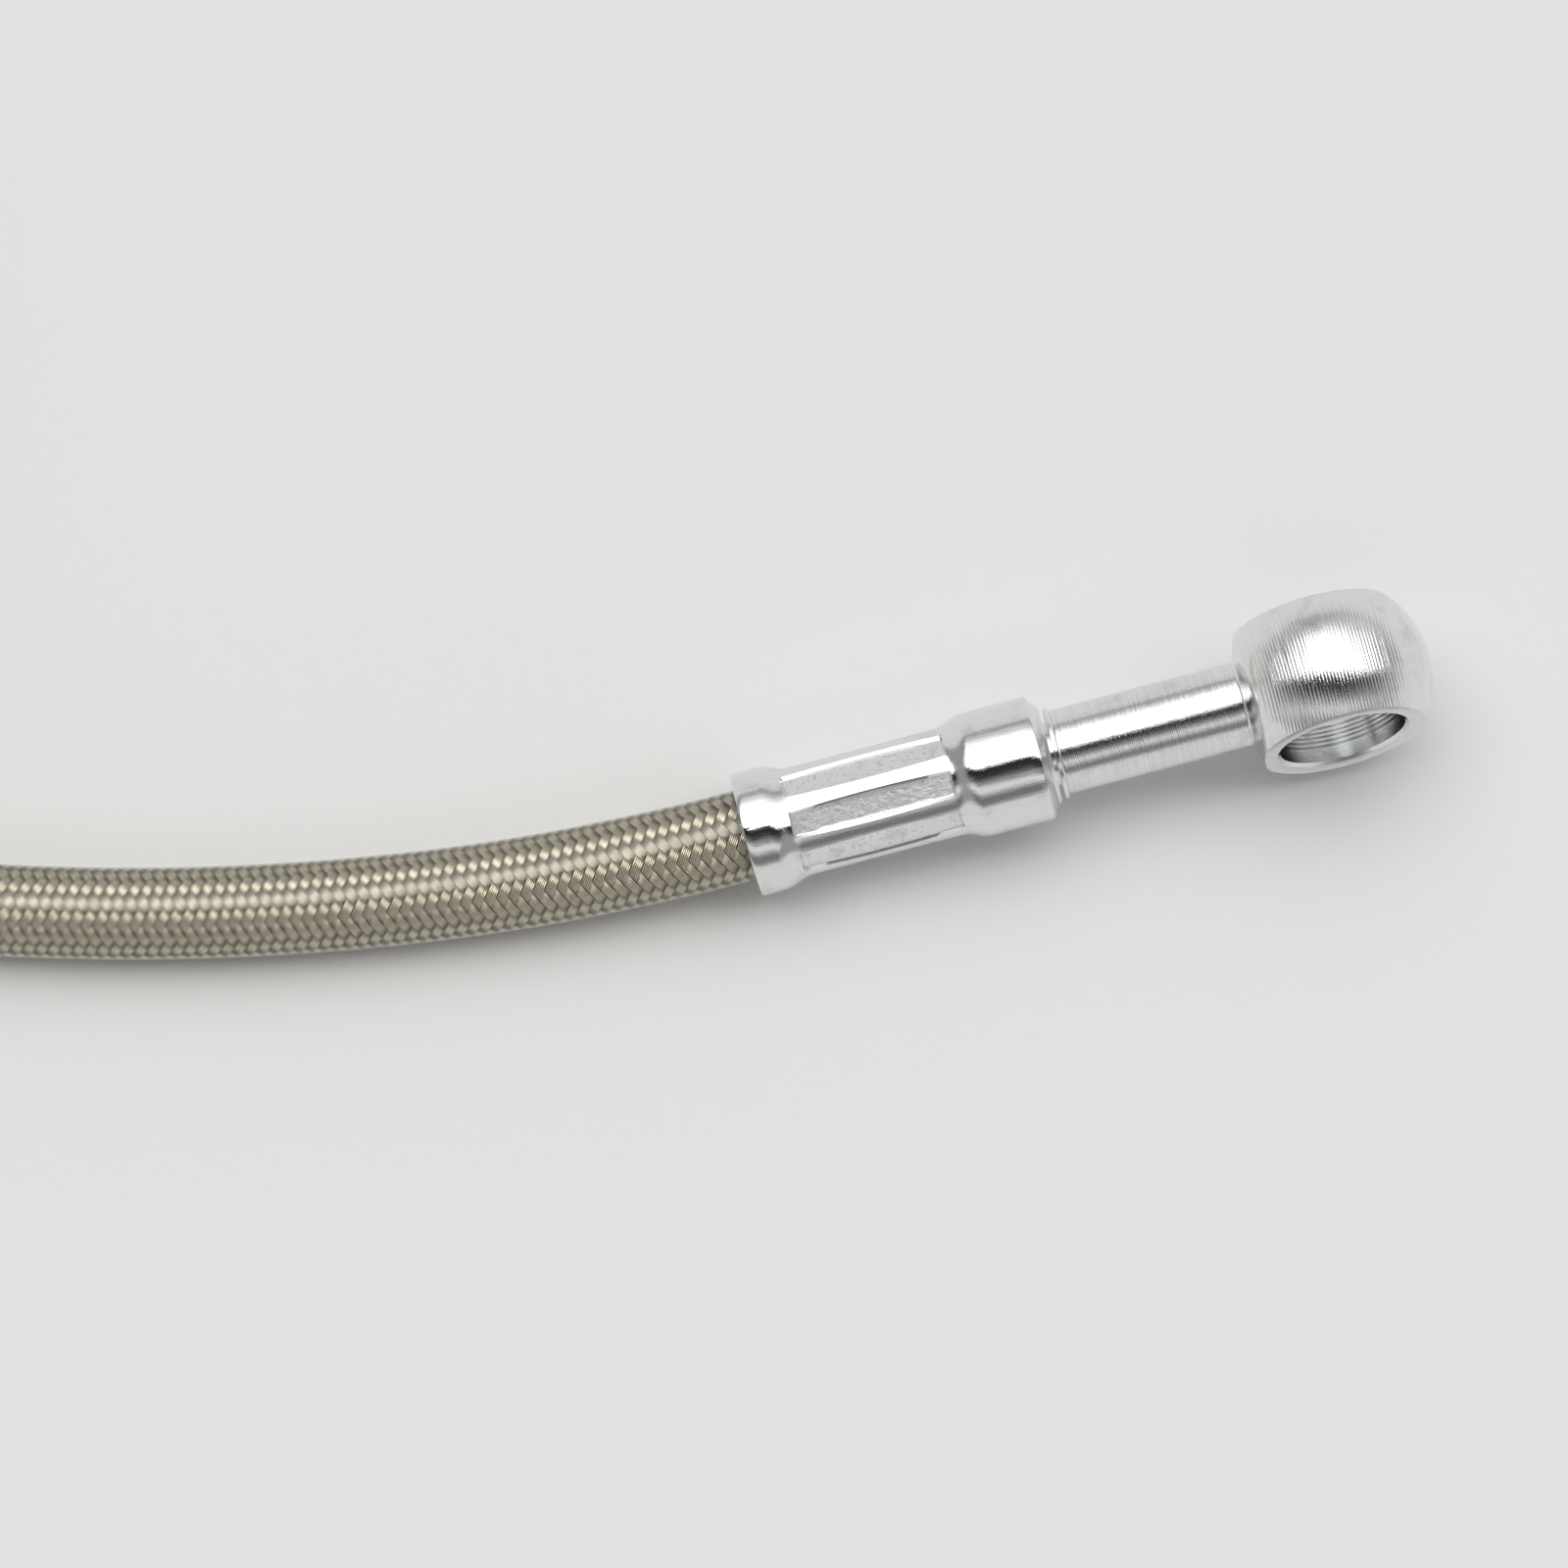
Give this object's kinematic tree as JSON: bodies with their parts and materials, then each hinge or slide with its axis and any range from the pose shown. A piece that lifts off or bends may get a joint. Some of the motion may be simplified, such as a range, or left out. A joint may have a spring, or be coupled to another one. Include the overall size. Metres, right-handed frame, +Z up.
{
  "type": "brake hose",
  "caption": "Braided brake hose under a clear cover, with a turned banjo fitting and a crimped ferrule at each end, its slack laid in a flat tied coil.",
  "frame": {"origin": "on the ground under the middle of the near banjo fitting with its ferrule", "axes": "+X along the near fitting from the hose to the eye, +Z up"},
  "size_m": [0.2063, 0.1727, 0.0167],
  "materials": {
    "zinc_fitting": "bright zinc plate over turned ridges",
    "zinc_ferrule": "bright zinc plate, grainy where the dies pressed",
    "steel_braid": "stainless wire braid",
    "clear_cover": "clear and glossy",
    "hose_liner": "waxy",
    "tie_nylon": "satin"
  },
  "bodies": {
    "root": {"banjo_fitting": "zinc_fitting", "crimp_ferrule": "zinc_ferrule", "far_banjo_fitting": "zinc_fitting", "far_crimp_ferrule": "zinc_ferrule", "hose_lead_in": "steel_braid", "hose_lead_out": "steel_braid", "hose_coil": "steel_braid", "coil_tie": "tie_nylon"}
  },
  "joints": []
}
